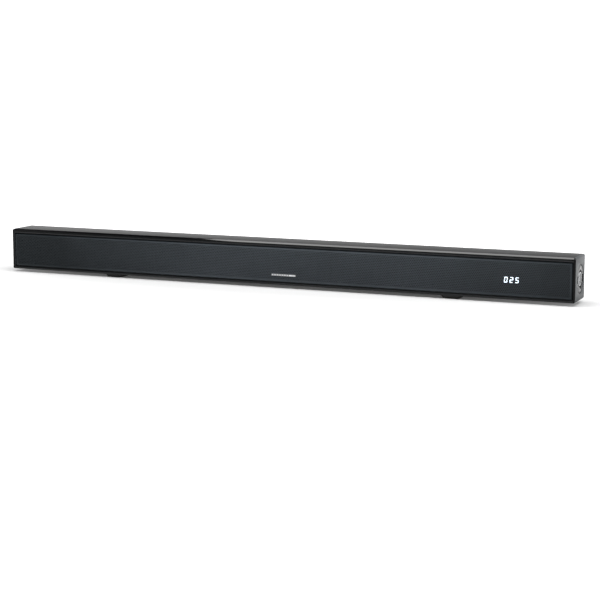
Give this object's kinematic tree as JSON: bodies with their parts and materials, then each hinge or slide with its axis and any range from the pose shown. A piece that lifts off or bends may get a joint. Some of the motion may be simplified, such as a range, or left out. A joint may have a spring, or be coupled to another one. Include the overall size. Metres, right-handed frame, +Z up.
{
  "type": "soundbar",
  "caption": "Slim soundbar with a steel grille, side buttons, rear socket bay, reflex ports and rubber feet.",
  "frame": {"origin": "middle of the footprint, on the surface that the feet stand on", "axes": "+X along the bar to the listener's right as seen from the front, -Y out of the grille, +Z up"},
  "size_m": [0.9, 0.052, 0.0675],
  "materials": {
    "socket_black": "matt",
    "shell": "fine texture",
    "nameplate": "brushed",
    "steel": "plated",
    "bezel_gloss": "polished",
    "key_silver": "metallic paint",
    "felt": "felt",
    "board_green": "solder mask",
    "digit_white": "lit",
    "display_dark": "smoked",
    "basket_steel": "black paint",
    "cone_paper": "coated paper",
    "magnet": "plated",
    "surround": "matt",
    "cap_grey": "fine texture",
    "rubber": "matt",
    "baffle_black": "matt",
    "frame_satin": "satin",
    "grille_steel": "powder coated",
    "components": "mixed",
    "shutter": "matt",
    "top": "satin",
    "trim_gloss": "polished"
  },
  "bodies": {
    "cabinet": {"aux_socket": "socket_black", "back_panel": "shell", "badge": "nameplate", "bay_frame": "shell", "board_screws": "steel", "board_standoffs": "shell", "button_bezel": "bezel_gloss", "cabinet_screws": "steel", "cabinet_shell": "shell", "chamber_walls": "shell", "damping_pads": "felt", "display_board": "board_green", "display_digits": "digit_white", "display_module": "display_dark", "driver1_basket": "basket_steel", "driver1_magnet": "magnet", "driver1_surround": "surround", "driver2_basket": "basket_steel", "driver2_magnet": "magnet", "driver2_surround": "surround", "driver3_basket": "basket_steel", "driver3_magnet": "magnet", "driver3_surround": "surround", "driver4_basket": "basket_steel", "driver4_magnet": "magnet", "driver4_surround": "surround", "end_cap_left": "cap_grey", "end_cap_right": "cap_grey", "foot_left": "rubber", "foot_right": "rubber", "front_baffle": "baffle_black", "front_frame": "frame_satin", "grille": "grille_steel", "hdmi_socket": "steel", "key_board": "board_green", "key_switches": "components", "keyhole_cups": "shell", "main_board": "board_green", "main_board_parts": "components", "mains_inlet": "socket_black", "mains_pins": "steel", "optical_socket": "socket_black", "port_tube_left": "socket_black", "port_tube_right": "socket_black", "power_board": "board_green", "power_board_parts": "components", "remote_eye": "display_dark", "socket_panel": "shell", "socket_tongues": "socket_black", "top_sheet": "top", "top_trim": "trim_gloss", "usb_socket": "steel"},
    "button_power": {"button_power": "key_silver"},
    "button_volume_up": {"button_volume_up": "key_silver"},
    "button_volume_down": {"button_volume_down": "key_silver"},
    "optical_shutter": {"optical_shutter": "shutter"},
    "cone1": {"driver1_cone": "cone_paper"},
    "cone2": {"driver2_cone": "cone_paper"},
    "cone3": {"driver3_cone": "cone_paper"},
    "cone4": {"driver4_cone": "cone_paper"}
  },
  "joints": [
    {"name": "cone1_travel", "type": "slide", "parent": "cabinet", "child": "cone1", "axis": [0, -1, 0], "range_m": [-0.002, 0.002], "stiffness_N_per_m": 600, "deforming": ["driver1_surround"]},
    {"name": "cone2_travel", "type": "slide", "parent": "cabinet", "child": "cone2", "axis": [0, -1, 0], "range_m": [-0.002, 0.002], "stiffness_N_per_m": 600, "deforming": ["driver2_surround"]},
    {"name": "cone3_travel", "type": "slide", "parent": "cabinet", "child": "cone3", "axis": [0, -1, 0], "range_m": [-0.002, 0.002], "stiffness_N_per_m": 600, "deforming": ["driver3_surround"]},
    {"name": "cone4_travel", "type": "slide", "parent": "cabinet", "child": "cone4", "axis": [0, -1, 0], "range_m": [-0.002, 0.002], "stiffness_N_per_m": 600, "deforming": ["driver4_surround"]},
    {"name": "button_power_press", "type": "slide", "parent": "cabinet", "child": "button_power", "axis": [-1, 0, 0], "range_m": [0, 0.0008], "stiffness_N_per_m": 300},
    {"name": "button_volume_up_press", "type": "slide", "parent": "cabinet", "child": "button_volume_up", "axis": [-1, 0, 0], "range_m": [0, 0.0008], "stiffness_N_per_m": 300},
    {"name": "button_volume_down_press", "type": "slide", "parent": "cabinet", "child": "button_volume_down", "axis": [-1, 0, 0], "range_m": [0, 0.0008], "stiffness_N_per_m": 300},
    {"name": "optical_shutter_swing", "type": "hinge", "parent": "cabinet", "child": "optical_shutter", "pos_m": [-0.008, 0.015, 0.0328], "axis": [-1, 0, 0], "range_deg": [0, 80], "stiffness_Nm_per_rad": 0.002}
  ]
}
